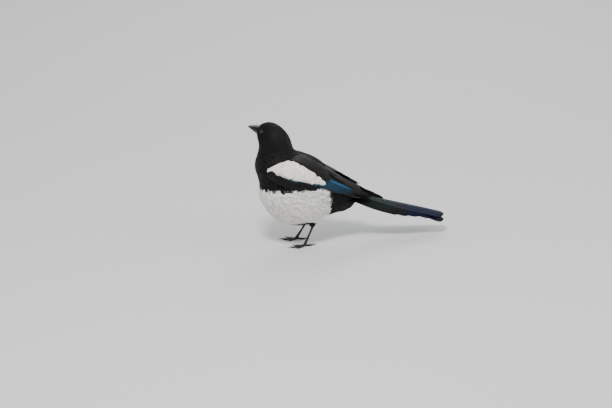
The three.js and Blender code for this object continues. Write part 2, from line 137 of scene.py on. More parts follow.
# How far single feather tips hang below the rest, left and right, from the middle out
TAIL_DROOP = {1: [0.5, 7, 5, 3.5, 2, 1], -1: [0, 0.5, 1, 0.5, 1, 0.5]}

# Colours, as the light of each channel
BLACK = np.array([0.0055, 0.0050, 0.0052])
BROWN_BLACK = np.array([0.013, 0.0095, 0.008])
WHITE = np.array([0.84, 0.82, 0.78])
WARM_WHITE = np.array([0.78, 0.74, 0.66])
GREY = np.array([0.15, 0.145, 0.14])
AZURE = np.array([0.019, 0.080, 0.150])
DEEP_BLUE = np.array([0.006, 0.032, 0.075])
TEAL = np.array([0.014, 0.065, 0.085])
EDGE_BROWN = np.array([0.085, 0.068, 0.055])
TAIL_GREEN = np.array([0.010, 0.020, 0.016])
TAIL_PURPLE = np.array([0.013, 0.009, 0.013])
TAIL_BLUE = np.array([0.004, 0.008, 0.025])
TAIL_NAVY = np.array([0.004, 0.006, 0.017])

# Black horn of the bill, and the pale grey of the highlights painted along its ridge and its mouth line
HORN = np.array([0.0055, 0.0055, 0.0065])
HORN_HIGHLIGHT = np.array([0.16, 0.16, 0.18])

MM = 0.001
random = np.random.default_rng(11)


# Small maths

def stack(*parts):
    """Values side by side along a last axis, each spread to the shape of all."""
    return np.stack(np.broadcast_arrays(*parts), -1)


def unit(v):
    return v / np.maximum(np.linalg.norm(v, axis=-1, keepdims=True), 1e-9)


def smooth(low, high, x):
    t = np.clip((x - low) / (high - low), 0, 1)
    return t * t * (3 - 2 * t)


def mix(a, b, t):
    t = np.asarray(t)[..., None]
    return a * (1 - t) + b * t


def about_y(degrees):
    c, s = math.cos(math.radians(degrees)), math.sin(math.radians(degrees))
    return np.array([[c, 0, s], [0, 1, 0], [-s, 0, c]])


def about_z(degrees):
    c, s = math.cos(math.radians(degrees)), math.sin(math.radians(degrees))
    return np.array([[c, -s, 0], [s, c, 0], [0, 0, 1]])


def curve(xs, ys, x):
    """A smooth curve through a table, for an array of places."""
    xs, ys = np.asarray(xs, float), np.asarray(ys, float)
    i = np.clip(np.searchsorted(xs, x, side="right") - 1, 0, len(xs) - 2)
    wide_x, wide_y = np.pad(xs, 1, "edge"), np.pad(ys, 1, "edge")
    slopes = (wide_y[2:] - wide_y[:-2]) / (wide_x[2:] - wide_x[:-2])
    width = xs[i + 1] - xs[i]
    t = np.clip((x - xs[i]) / width, 0, 1)
    t2, t3 = t * t, t ** 3
    return ((2 * t3 - 3 * t2 + 1) * ys[i] + (t3 - 2 * t2 + t) * width * slopes[i]
            + (3 * t2 - 2 * t3) * ys[i + 1] + (t3 - t2) * width * slopes[i + 1])


def waves(p, size):
    """Soft noise between -1 and 1 for points, with waves of about the given size."""
    total = np.zeros(p.shape[:-1])
    for k in range(1, 5):
        way = np.array([math.sin(2.1 * k), math.cos(3.7 * k), math.sin(5.3 * k + 1)])
        total += np.sin(p @ way * (2 * math.pi / size) * (0.6 + 0.35 * k) + 1.7 * k)
    return total / 4


# Flesh as a field: negative inside

HEAD_ROT = about_z(HEAD_TURN) @ about_y(-HEAD_PITCH)


def in_head(p):
    return np.asarray(p, float) @ HEAD_ROT.T + HEAD_AT


def to_head(p):
    return (p - HEAD_AT) @ HEAD_ROT


def lump(local, radii):
    radii = np.asarray(radii, float)
    near = np.linalg.norm(local / radii, axis=-1)
    slope = np.linalg.norm(local / radii ** 2, axis=-1)
    return near * (near - 1) / np.maximum(slope, 1e-9)


def melt(reach, whole, *others):
    """Fields run into one, each in its turn."""
    for other in others:
        h = np.maximum(reach - np.abs(whole - other), 0) / reach
        whole = np.minimum(whole, other) - h * h * reach / 4
    return whole


def thigh(p, leg):
    points = [(leg["heel"] + (dx, 0, dz), r) for (dx, dz), r in THIGH]
    nearest = np.full(p.shape[:-1], 1e9)
    for (a, ra), (b, rb) in zip(points, points[1:]):
        t = np.clip((p - a) @ (b - a) / ((b - a) @ (b - a)), 0, 1)
        reach = np.linalg.norm(p - (a + t[..., None] * (b - a)), axis=-1)
        nearest = np.minimum(nearest, reach - (ra + (rb - ra) * t))
    return nearest


def flesh_exact(p):
    head = [lump(to_head(p) - at, radii) for at, radii in HEAD_LUMPS.values()]
    body = [lump((p - at) @ about_y(-tilt), radii) for at, radii, tilt in BODY_LUMPS.values()]
    trunk = melt(BODY_BLEND, melt(HEAD_BLEND, *head), melt(BODY_BLEND, *body))
    return melt(THIGH_BLEND, trunk, *(thigh(p, leg) for leg in LEGS.values()))


class Field:
    """The flesh on a grid, read between its points."""

    STEP = 1.6
    LOW = np.array([-118.0, -62.0, 38.0])
    HIGH = np.array([112.0, 62.0, 242.0])

    def __init__(self):
        self.count = np.ceil((self.HIGH - self.LOW) / self.STEP).astype(int) + 1
        axes = [self.LOW[k] + self.STEP * np.arange(self.count[k]) for k in range(3)]
        self.points = stack(*np.meshgrid(*axes, indexing="ij"))
        self.flesh = np.stack([flesh_exact(sheet) for sheet in self.points])
        self.table = stack(self.flesh, *np.gradient(self.flesh, self.STEP))

    def read(self, p):
        """The field and its slope at points."""
        q = (p - self.LOW) / self.STEP
        i = np.clip(np.floor(q).astype(int), 0, self.count - 2)
        t = q - i
        total = 0
        for corner in np.ndindex(2, 2, 2):
            weight = np.prod([t[..., k] if corner[k] else 1 - t[..., k] for k in range(3)], axis=0)
            total = total + weight[..., None] * self.table[tuple(i[..., k] + corner[k] for k in range(3))]
        return total[..., 0], total[..., 1:]

    def out(self, p):
        return unit(self.read(p)[1])

    def settle(self, p, height, steps=3):
        """Points moved straight in or out until they lie at a height over the flesh."""
        for _ in range(steps):
            value, slope = self.read(p)
            size = np.maximum(np.sum(slope * slope, axis=-1), 0.05)
            p = p - slope * ((value - height) / size)[..., None]
        return p


field = Field()


def headness(p):
    """1 on the head, 0 on the trunk, and between them on the neck."""
    return smooth(180, 206, p[..., 2] + 0.2 * (p[..., 0] - 50))


def coat_depth(p):
    head = headness(p)
    face = smooth(0, 22, to_head(p)[..., 0]) * head
    legs = smooth(62, 48, p[..., 2])
    belly = smooth(120, 95, p[..., 2])
    depth = BACK_DEPTH + (BELLY_DEPTH - BACK_DEPTH) * belly
    depth = depth * (1 - head) + head * (NAPE_DEPTH + (FACE_DEPTH - NAPE_DEPTH) * face)
    return depth * (1 - legs) + LEG_DEPTH * legs


# Markings, alike on the skin and the coat

def black_tone(p):
    """Black, browner on the mantle."""
    brown = smooth(110, 175, p[..., 2]) * smooth(75, 20, p[..., 0]) * 0.8
    return mix(BLACK, BROWN_BLACK, brown * (0.7 + 0.3 * waves(p, 30)))


def belly_mask(p):
    """1 where the coat is white underneath."""
    x, z = p[..., 0], p[..., 2]
    ragged = RAGGED * waves(p, 17)
    bib = BIB_HEIGHT + 1.5 * smooth(44, 20, x) + ragged
    vent = VENT_AT + 0.10 * (z - 80) + ragged
    white = smooth(bib + EDGE_SOFT, bib - EDGE_SOFT, z) * smooth(vent - EDGE_SOFT, vent + EDGE_SOFT, x)
    return white * smooth(46, 52, z + 0.25 * np.abs(x))


def paint_body(p):
    """Black above and white underneath, with a faint grey band over the rump."""
    x, z = p[..., 0], p[..., 2]
    rump = smooth(-76, -64, x) * smooth(-40, -52, x) * smooth(98, 106, z)
    return mix(mix(black_tone(p), WHITE, belly_mask(p)), GREY, RUMP_GREY * rump)


# The skin's own shape laid out flat: the head on one side, the body on the other

def chart(left, width, turn, along):
    """Places on the unwrap, from angles round an axis and shares of the way along it."""
    return stack(left + width * (turn / (2 * math.pi) + 0.5), 0.02 + 0.96 * np.clip(along, 0, 1))


def unwrap(p):
    local = to_head(p)
    head = chart(0.62, 0.36, np.arctan2(local[..., 1], local[..., 2]), (local[..., 0] + 40) / 75)
    axis = 104 + 0.42 * p[..., 0]
    body = chart(0.02, 0.56, np.arctan2(p[..., 1], axis - p[..., 2]), (p[..., 0] + 120) / 215)
    return np.where((headness(p) > 0.5)[..., None], head, body)


# Meshes

shift = np.mean(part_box("eye_left"), axis=0) / MM - in_head(EYE_AT)


def new_object(name, data):
    """A new object of the scene."""
    made = bpy.data.objects.new(name, data)
    bpy.context.scene.collection.objects.link(made)
    return made


def make_mesh(name, points, faces, colours=None, vane=None, bake=None, rounded=None):
    """A piece from arrays: points in mm, faces as rows of three or four, values at the points, and
    which faces are shaded round."""
    mesh = bpy.data.meshes.new(name)
    points = (np.asarray(points, float) + shift) * MM
    faces = [np.asarray(f, np.int32) for f in faces]
    corners = np.concatenate([f.reshape(-1) for f in faces])
    sizes = np.concatenate([np.full(len(f), f.shape[1], np.int32) for f in faces])
    mesh.vertices.add(len(points))
    mesh.vertices.foreach_set("co", points.astype(np.float32).reshape(-1))
    mesh.loops.add(len(corners))
    mesh.loops.foreach_set("vertex_index", corners)
    mesh.polygons.add(len(sizes))
    mesh.polygons.foreach_set("loop_start", (np.cumsum(sizes) - sizes).astype(np.int32))
    mesh.update(calc_edges=True)
    mesh.polygons.foreach_set("use_smooth", np.ones(len(sizes), bool) if rounded is None else rounded)
    for label, uv in (("Vane", vane), ("OFBake", bake)):
        if uv is not None:
            flat = np.asarray(uv, np.float32)[corners].reshape(-1)
            mesh.uv_layers.new(name=label).data.foreach_set("uv", flat)
    if colours is not None:
        rgba = np.concatenate([colours, np.ones((len(colours), 1))], axis=1).astype(np.float32)
        layer = mesh.color_attributes.new(name="Paint", type="FLOAT_COLOR", domain="POINT")
        layer.data.foreach_set("color", rgba.reshape(-1))
    mesh.validate()
    return new_object(name, mesh)


def vane_faces(count, along, across):
    """Faces of many closed vanes: each a sheet on top, a sheet below, and walls round the rim. Only the
    sheets are shaded round."""
    sheet = along * across
    at = np.arange(sheet).reshape(along, across)
    top = stack(at[:-1, :-1], at[:-1, 1:], at[1:, 1:], at[1:, :-1]).reshape(-1, 4)
    rim = np.concatenate([at[:-1, 0], at[-1, :-1], at[:0:-1, -1], at[0, :0:-1]])
    ahead = np.roll(rim, -1)
    one = np.concatenate([top, top[:, ::-1] + sheet, stack(rim, ahead, ahead + sheet, rim + sheet)])
    rounded = np.arange(len(one)) < 2 * len(top)
    faces = (one[None] + (np.arange(count) * 2 * sheet)[:, None, None]).reshape(-1, 4)
    return faces, np.tile(rounded, count)


def vane_piece(name, top, below, colours, marks, bake, flip=False):
    """One piece from vanes given as arrays [vane, along, across, 3]."""
    count, along, across = top.shape[:3]
    sheets = [np.stack(pair, 1).reshape(count * 2 * along * across, -1)
              for pair in ((top, below), (colours, colours), (marks, marks), (bake, bake))]
    faces, rounded = vane_faces(count, along, across)
    return make_mesh(name, sheets[0], [faces[:, ::-1] if flip else faces], *sheets[1:], rounded)


# Materials

class Look:
    """A material, with the few nodes that the looks here need."""

    def __init__(self, name, **values):
        self.material = bpy.data.materials.new(name)
        self.material.use_nodes = True
        self.nodes = self.material.node_tree.nodes
        self.main = self.nodes["Principled BSDF"]
        self.fill(self.main, values)

    def fill(self, node, values):
        """Constant values of sockets, whose names have a space where the key has an underscore."""
        for key, value in values.items():
            node.inputs[key.replace("_", " ")].default_value = value

    def add(self, kind, **values):
        node = self.nodes.new("ShaderNode" + kind)
        self.fill(node, values)
        return node

    def link(self, output, node, socket):
        self.material.node_tree.links.new(output, node.inputs[socket])

    def calc(self, kind, *terms):
        node = self.add("Math")
        node.operation = kind
        for k, term in enumerate(terms):
            if isinstance(term, (int, float)):
                node.inputs[k].default_value = term
            else:
                self.link(term, node, k)
        return node.outputs[0]

    def noise(self, scale, detail, stretch=(1, 1, 1)):
        """Noise in the piece's own space."""
        mapping = self.add("Mapping", Scale=stretch)
        self.link(self.add("TexCoord").outputs["Object"], mapping, "Vector")
        noise = self.add("TexNoise", Scale=scale, Detail=detail)
        self.link(mapping.outputs[0], noise, "Vector")
        return noise.outputs["Fac"]

    def paint(self, amount):
        """The painted colour, lighter or darker by an amount."""
        paint = self.add("Attribute")
        paint.attribute_name = "Paint"
        scaled = self.add("VectorMath")
        scaled.operation = "SCALE"
        self.link(paint.outputs["Color"], scaled, 0)
        self.link(amount, scaled, "Scale")
        self.link(scaled.outputs[0], self.main, "Base Color")

    def relief(self, height, strength, distance):
        bump = self.add("Bump", Strength=strength, Distance=distance)
        self.link(height, bump, "Height")
        self.link(bump.outputs[0], self.main, "Normal")


# Barbs run out from the shaft at this slant, waver by noise, and shade the vane beside soft patches
BARB_SLANT = 1.4
BARB_WAVER = 1.6
BARB_SHADE = 0.10
PATCH_SHADE = 0.36
DARKEST_SHADE = 0.82
BARB_RELIEF = 0.0002
GRAIN_RELIEF = 0.0003


def feather_material(name, rough, metal, barb_size, bump, shine):
    """Painted colour with barbs, from the map of the places on each vane."""
    look = Look(name, Roughness=rough, Metallic=metal, Specular_IOR_Level=shine)
    place = look.add("UVMap")
    place.uv_map = "Vane"
    split = look.add("SeparateXYZ")
    look.link(place.outputs[0], split, 0)
    noise = look.noise(240.0, 3.0)
    slant = look.calc("MULTIPLY", look.calc("ABSOLUTE", split.outputs[0]), BARB_SLANT)
    line = look.calc("SUBTRACT", split.outputs[1], slant)
    turn = look.calc("MULTIPLY", line, 2 * math.pi / barb_size)
    barbs = look.calc("SINE", look.calc("ADD", turn, look.calc("MULTIPLY", noise, BARB_WAVER)))
    shade = look.calc("MULTIPLY", barbs, BARB_SHADE)
    patches = look.calc("MULTIPLY", noise, PATCH_SHADE)
    look.paint(look.calc("ADD", look.calc("ADD", shade, patches), DARKEST_SHADE))
    look.relief(barbs, bump, BARB_RELIEF)
    return look.material


def noise_material(name, tones, scale, rough, bump, coat=0.0, stretch=(1, 1, 1), shine=0.5):
    """Two tones mixed by noise, or the painted colour where no tones are given, with a fine relief."""
    look = Look(name, Roughness=rough, Specular_IOR_Level=shine, Coat_Weight=coat, Coat_Roughness=0.15)
    noise = look.noise(scale, 5.0, stretch)
    if tones:
        ramp = look.add("ValToRGB")
        for stop, place, tone in zip(ramp.color_ramp.elements, (0.35, 0.7), tones):
            stop.position = place
            stop.color = (*tone, 1)
        look.link(noise, ramp, 0)
        look.link(ramp.outputs[0], look.main, "Base Color")
    else:
        look.paint(look.calc("ADD", look.calc("MULTIPLY", noise, 0.5), 0.6))
    look.relief(noise, bump, GRAIN_RELIEF)
    return look.material


def eye_material():
    look = Look("eye", Roughness=0.05, Specular_IOR_Level=0.5, Coat_Weight=0.6, Coat_Roughness=0.02)
    grain = look.add("TexNoise", Scale=1500.0)
    look.paint(look.calc("ADD", grain.outputs["Fac"], 0.5))
    return look.material


# Feathers: roughness, metal, size of the barbs in mm, relief and shine
white_material = feather_material("white_feathers", 0.7, 0.0, 0.9, 0.2, 0.2)
coat_material = feather_material("dark_feathers", 0.55, 0.0, 0.9, 0.25, 0.14)
head_material = feather_material("head_feathers", 0.5, 0.0, 0.7, 0.2, 0.14)
wing_material = feather_material("flight_feathers", 0.46, 0.06, 1.1, 0.3, 0.14)
tail_material = feather_material("tail_feathers", 0.42, 0.2, 1.2, 0.3, 0.2)
# Skin and horn: tones, scale of the grain, roughness and relief
skin_material = noise_material("skin", None, 300.0, 0.8, 0.3)
bill_material = noise_material("horn", None, 260.0, 0.28, 0.12, coat=0.06, stretch=(0.3, 1, 1), shine=0.22)
leg_material = noise_material("leg_scales", ((0.006, 0.006, 0.007), (0.018, 0.017, 0.019)), 700.0, 0.45, 0.4,
                              coat=0.04, shine=0.25)
claw_material = noise_material("claws", ((0.005, 0.005, 0.006), (0.014, 0.013, 0.014)), 400.0, 0.3, 0.1,
                               coat=0.2, shine=0.3)
lid_material = noise_material("lid_skin", ((0.003, 0.003, 0.003), (0.009, 0.008, 0.008)), 900.0, 0.55, 0.5,
                              shine=0.15)
eye_look = eye_material()


def dress(piece, material, slot, *nodes):
    piece.data.materials.append(material)
    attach(piece, "root")
    if nodes:
        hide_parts(*nodes)


# Skin

def surface_net(values, low, step):
    """A closed mesh of quads where the grid's values change sign."""
    shape = np.array(values.shape) - 1
    steps = np.eye(3, dtype=int)
    total = np.zeros((*shape, 3))
    hits = np.zeros(shape)

    def corners(at):
        return values[tuple(slice(s, s + n) for s, n in zip(at, shape))]

    for axis in range(3):
        for offset in np.ndindex(2, 2):
            start = np.insert(offset, axis, 0)
            a, b = corners(start), corners(start + steps[axis])
            change = (a < 0) != (b < 0)
            t = np.where(change, a / np.where(change, a - b, 1), 0)
            total += (start + t[..., None] * steps[axis]) * change[..., None]
            hits += change
    crossed = hits > 0
    index = np.full(shape, -1)
    index[crossed] = np.arange(np.count_nonzero(crossed))
    cells = np.argwhere(crossed)
    points = low + step * (cells + total[crossed] / hits[crossed][:, None])
    quads = []
    for axis in range(3):
        u, v = (axis + 1) % 3, (axis + 2) % 3
        inside = corners((0, 0, 0)) < 0
        edges = np.argwhere(inside != (corners(steps[axis]) < 0))
        edges = edges[(edges[:, u] > 0) & (edges[:, v] > 0)]
        ring = [edges, edges - steps[u], edges - steps[u] - steps[v], edges - steps[v]]
        quad = stack(*(index[tuple(r.T)] for r in ring))
        outward = inside[tuple(edges.T)]
        quad[~outward] = quad[~outward][:, ::-1]
        quads.append(quad)
    return points, np.concatenate(quads)


def make_skin():
    depth = np.stack([coat_depth(sheet) for sheet in field.points])
    points, quads = surface_net(field.flesh + depth, field.LOW, field.STEP)
    points = field.settle(points, -coat_depth(points), 4)
    bake = unwrap(points)
    piece = make_mesh("skin", points, [quads], paint_body(points), bake, bake)
    dress(piece, skin_material, "dark_plumage", "torso", "neck", "head", "thigh_left", "thigh_right")
    return points, quads


skin_points, skin_quads = make_skin()


# The lie of the coat

def lie(p):
    """The way that feathers point, along the surface."""
    head = headness(p)
    local = to_head(p)
    on_head = stack(-1, 0.10 * np.sign(local[..., 1]), -0.25 - 0.5 * smooth(0, -18, local[..., 2]))
    front = smooth(20, 70, p[..., 0])
    on_body = stack(-1 + 0.5 * front, 0, -0.28 - 0.75 * front)
    way = mix(on_body, on_head @ HEAD_ROT.T, head)
    out = field.out(p)
    return unit(way - out * np.sum(way * out, axis=-1, keepdims=True))


def feather_sizes(p):
    """Length, width and spacing of the feathers at places on the body."""
    head = headness(p)
    local = to_head(p)
    face = smooth(-8, 16, local[..., 0]) * head
    belly = belly_mask(p)
    legs = smooth(64, 50, p[..., 2])
    mantle = smooth(125, 150, p[..., 2]) * smooth(50, 25, p[..., 0]) * (1 - belly)
    length = 16 + 4 * belly + 7 * mantle
    length = length * (1 - head) + (9.0 - 5.0 * face) * head
    length = length * (1 - legs) + 8 * legs
    width = length * (0.52 - 0.10 * head - 0.12 * belly + 0.06 * mantle)
    space = length * (0.22 - 0.03 * head)
    return length, width, space


def scatter(points, quads, spacing, tries):
    """Places on a mesh that keep a distance from one another."""
    a, b, c, d = (points[quads[:, k]] for k in range(4))
    areas = 0.5 * np.linalg.norm(np.cross(c - a, d - b), axis=1)
    chosen = random.choice(len(quads), tries, p=areas / areas.sum())
    s, t = random.random(tries)[:, None], random.random(tries)[:, None]
    places = (a[chosen] * (1 - s) + b[chosen] * s) * (1 - t) + (d[chosen] * (1 - s) + c[chosen] * s) * t
    space = spacing(places)
    cell = space.max()
    buckets = {}
    kept = []
    keys = np.floor(places / cell).astype(int).tolist()
    places = places.tolist()
    near = [(i, j, k) for i in (-1, 0, 1) for j in (-1, 0, 1) for k in (-1, 0, 1)]
    for n, (i, j, k) in enumerate(keys):
        around = [m for di, dj, dk in near for m in buckets.get((i + di, j + dj, k + dk), ())]
        if not any(math.dist(places[n], places[m]) < space[n] for m in around):
            buckets.setdefault((i, j, k), []).append(n)
            kept.append(n)
    return np.array([places[n] for n in kept])


def cloak_at(x):
    """The cloak's ridge, the height where it is widest, and half its width there."""
    return (curve(CLOAK_X, ys, x) for ys in (CLOAK_TOP, CLOAK_SIDE, CLOAK_HALF))


def wing_height(p):
    """How far a point stands out of the cloak, for points at the sides."""
    top, side, half = cloak_at(p[..., 0])
    up = np.clip((p[..., 2] - side) / np.maximum(top - side, 1), -1.2, 1.2)
    out = (np.abs(p[..., 1]) / half) ** (1 / CLOAK_SQUARE)
    return (np.hypot(up, out) - 1) * half


def hidden_by_wing(p):
    """True where the folded wing covers the flank, so that no coat has to grow there."""
    x, z = p[..., 0], p[..., 2]
    low = np.interp(x, [-90, -41, -28, -15, 6, 47, 60], [96, 99, 99, 103, 121, 122, 132])
    high = np.interp(x, [-90, -41, 6, 47, 60], [100, 132, 152, 158, 146])
    return (wing_height(p) < 0.5) & (z > low) & (z < high) & (x > -90) & (x < 58)


# Stations along a feather, the share of its width at each, and how many points lie across it
VANE_FORM = ([0, 0.2, 0.42, 0.62, 0.8, 0.92, 1.0], [0.30, 0.72, 0.95, 1.0, 0.84, 0.55, 0.14], 5)
PLUME_FORM = ([0, 0.25, 0.5, 0.75, 0.9, 1.0], [0.35, 0.8, 1.0, 0.8, 0.5, 0.1], 5)
WISP_FORM = ([0, 0.35, 0.7, 1.0], [1.0, 0.8, 0.5, 0.15], 2)
ROOT_SHARE = 0.9
VANE_BODY = 0.14
BAKE_PATCH = 0.003
COAT_LIMIT = 190000
# Tufts: how much longer the feathers behind the vent are, and how far tufts stand out there and in front
TUFT_LONGER = 7
TUFT_LIFT = 4.5
FRONT_LIFT = 2
FRONT_WISP_LIFT = 3
FLANK_TONE = 0.4


def each(values):
    """One value a feather, ready to meet its stations and the points across it."""
    return values[:, None, None]


def grid_of(form):
    """The stations, the points across and the shares of the width of a feather's form."""
    steps, share, across = form
    return np.array(steps)[None, :, None], np.linspace(-1, 1, across), np.array(share)[None, :, None]


def marks_and_bake(half, long, t, v, corner):
    """Places for the barbs, in mm from shaft and root, and each feather's patch on the unwrap."""
    return stack(half * v, long), each(corner) + BAKE_PATCH * stack(v / 2, t - 0.5)


def body_feathers(form, roots, length, width, lift, spread, camber, sway, tone, fray=0.16):
    """Vanes over the flesh: each point is settled at its own height, so that the rows overlap like tiles."""
    t, v, share = grid_of(form)
    count = len(roots)
    way = lie(roots)
    out = field.out(roots)
    way = unit(way + np.cross(out, way) * (random.normal(0, 1, count) * spread)[:, None])
    side = np.cross(out, way)
    ragged = 1 + fray * random.normal(0, 1, (count, share.shape[1], len(v))) * np.abs(v)
    half = each(width / 2) * share * ragged
    bend = each(random.normal(0, sway, count) * length) * t ** 2
    long = each(length) * t
    spots = each(roots) + each(way) * long[..., None] + each(side) * (bend + half * v)[..., None]
    base = -each(coat_depth(roots)) * ROOT_SHARE
    rise = base + (each(lift) - base) * (1 - (1 - t) ** 1.7)
    top = field.settle(spots, rise + camber * (1 - v ** 2) * (0.3 + 0.7 * t))
    below = top - field.out(top) * VANE_BODY
    shade = np.clip(1 + tone * random.normal(0, 1, count), 0.45, 1.12)
    places = roots + way * (length * 0.6)[:, None]
    colours = np.broadcast_to(each(paint_body(places) * shade[:, None]), top.shape)
    return top, below, colours, *marks_and_bake(half, long, t, v, unwrap(roots))


def in_pieces(name, arrays, material, slot):
    """Vanes parted into pieces of few enough triangles."""
    count, along, across = arrays[0].shape[:3]
    triangles = 4 * (along * across - 1)
    per_piece = COAT_LIMIT // triangles
    for k, start in enumerate(range(0, count, per_piece)):
        part = [a[start:start + per_piece] for a in arrays]
        label = name if count <= per_piece else f"{name}_{k + 1}"
        dress(vane_piece(label, *part), material, slot)


def bare(roots):
    """Where no feather grows: on the eyes, and under the bill."""
    eyes = [in_head(EYE_AT * [1, side, 1]) for side in (1, -1)]
    eye = np.min([np.linalg.norm(roots - at, axis=1) for at in eyes], axis=0) < EYE_RADIUS + 0.8
    at = to_head(roots)
    bill = (at[:, 0] > 21) & (np.abs(at[:, 1]) < 7) & (at[:, 2] > -10) & (at[:, 2] < 6)
    return eye | bill


def coat_roots(spacing, tries):
    roots = scatter(skin_points, skin_quads, spacing, tries)
    return roots[~bare(roots) & ~hidden_by_wing(roots)]


def tufts(p):
    """Where the coat stands out: behind the vent, and at the upper edge of the belly in front."""
    vent = smooth(-66, -86, p[:, 0]) * smooth(78, 64, p[:, 2])
    front = np.exp(-((p[:, 2] - 106) / 8) ** 2) * smooth(62, 76, p[:, 0])
    return vent, front


# The coat's parts: form, material, slot, lift, camber, spread of tone, sway and frayed edge
COAT_PARTS = {
    "head_coat": (PLUME_FORM, head_material, "dark_plumage", 0.12, 0.08, 0.08, 0.05, 0.10),
    "dark_coat": (VANE_FORM, coat_material, "dark_plumage", 0.12, 0.08, 0.07, 0.03, 0.06),
    "white_coat": (PLUME_FORM, white_material, "body_plumage", 0.8, 0.2, 0.02, 0.08, 0.16),
}


def make_coat():
    roots = coat_roots(lambda p: feather_sizes(p)[2], 110000)
    length, width, _ = feather_sizes(roots)
    vent, front = tufts(roots)
    length = length * random.uniform(0.85, 1.15, len(roots)) + TUFT_LONGER * vent
    flank = smooth(-50, -40, roots[:, 0]) * smooth(-2, -14, roots[:, 0]) * smooth(80, 92, roots[:, 2])
    white = belly_mask(roots) > 0.5
    on_head = (headness(roots) > 0.5) & ~white
    masks = {"head_coat": on_head, "dark_coat": ~on_head & ~white, "white_coat": white}
    for name, mask in masks.items():
        form, material, slot, rise, camber, tone, sway, fray = COAT_PARTS[name]
        lift = rise * random.uniform(-0.5, 1, np.count_nonzero(mask))
        lift = lift + TUFT_LIFT * vent[mask] + FRONT_LIFT * front[mask] * white[mask]
        spread = 0.05 + 0.15 * belly_mask(roots[mask])
        tones = tone + FLANK_TONE * flank[mask] * white[mask]
        arrays = body_feathers(form, roots[mask], length[mask], width[mask], lift, spread, camber, sway,
                               tones, fray)
        in_pieces(name, arrays, material, slot)


def make_wisps():
    """Single wisps that soften the coat, most of them on the white belly."""
    roots = coat_roots(lambda p: 1.5 - 0.45 * belly_mask(p), 60000)
    white = belly_mask(roots) > 0.5
    length, _, _ = feather_sizes(roots)
    for name, mask, material, slot, stand, splay in (
            ("white_wisps", white, white_material, "body_plumage", 1.6, 0.22),
            ("dark_wisps", ~white, coat_material, "dark_plumage", 0.15, 0.10)):
        count = np.count_nonzero(mask)
        size = length[mask] * random.uniform(0.6, 1.0, count)
        vent, front = tufts(roots[mask])
        lift = 0.2 + stand * random.random(count) + TUFT_LIFT * vent + FRONT_WISP_LIFT * front * white[mask]
        width = size * 0.03 + 0.15
        arrays = body_feathers(WISP_FORM, roots[mask], size, width, lift, splay, 0, splay / 2, 0.06)
        in_pieces(name, arrays, material, slot)


make_coat()
make_wisps()


# Wings

def on_cloak(x, phi, depth, side):
    top, widest, half = cloak_at(x)
    angle = np.radians(phi)
    out = np.sign(np.sin(angle)) * np.abs(np.sin(angle)) ** CLOAK_SQUARE
    tall = top - widest
    reach = tall + np.maximum(CLOAK_HANG - tall, 0) * smooth(88, 108, phi)
    return stack(x, side * (half + depth) * out, widest + (reach + depth) * np.cos(angle))


def arm_height(x, phi, back):
    """The height of the arm over the cloak."""
    u = (x - ARM["x"] + back) / ARM["length"]
    v = (phi - ARM["phi"]) / ARM["span"]
    return ARM["thick"] * np.sqrt(np.clip(1 - u * u - v * v, 0, 1))


def degrees_across(x, phi, width):
    step = 2.0
    arc = np.linalg.norm(on_cloak(x, phi + step, 0, 1) - on_cloak(x, phi - step, 0, 1), axis=-1)
    return width / np.maximum(arc, 0.3) * 2 * step


def grown(name, vanes, material, slot, node, flip=False):
    """A piece of large feathers, each given as its five arrays."""
    arrays = [np.stack(values) for values in zip(*vanes)]
    dress(vane_piece(name, *arrays, flip=flip), material, slot, node)


# Wing feathers in tiers: count, width, depth on the cloak, tilt, rise, the share of the arm's height that
# they ride on, and bend; root and tip of the first and the last as x and degrees down from the ridge
WING_TIERS = {
    "primaries": (9, (13, 10), (-0.4, -2.9), 1.4, 0, 0, 1,
                  ((-6, 98), (20, 116)), ((-108, 86), (-128, 108))),
    "secondaries": (8, (16, 13), (2.8, 0.0), 2.6, 0.4, 0, 1.6,
                    ((0, 52), (8, 90)), ((-106, 66), (-76, 96))),
    "tertials": (4, (17, 14), (4.6, 3.3), 1.8, 0.9, 0, 3,
                 ((12, 14), (4, 28)), ((-60, 26), (-104, 82))),
    "dark_scapulars": (8, (15, 13), (5.8, 4.6), 1.4, 1.0, 0.2, 1.5,
                       ((38, 7), (24, 58)), ((-32, 6), (-44, 57))),
    "greater_coverts": (9, (12, 11), (1.4, 0.6), 1.2, 0.6, 0.85, 1,
                        ((4, 66), (48, 104)), ((-42, 66), (2, 106))),
    "primary_coverts": (7, (9, 8), (0.2, -0.6), 1.0, 0.3, 0.7, 1,
                        ((32, 110), (52, 116)), ((-26, 114), (14, 130))),
    "median_coverts": (10, (12, 10), (1.2, 1.0), 1.0, 0.5, 1, 1,
                       ((20, 62), (60, 100)), ((-16, 64), (34, 112))),
}
FLIGHT_STEPS = 22
FLIGHT_ACROSS = 13
HALF_THICK = 0.18


def outline_of(t, widest_at, round_from, power):
    """Half width of a large feather along its length, as a share: it widens, and its tip is round."""
    rise = 0.42 + 0.58 * smooth(0, widest_at, t)
    fall = np.sqrt(np.clip(1 - np.clip((t - round_from) / (1 - round_from), 0, 1) ** power, 0, 1))
    return rise * np.maximum(fall, 0.06)


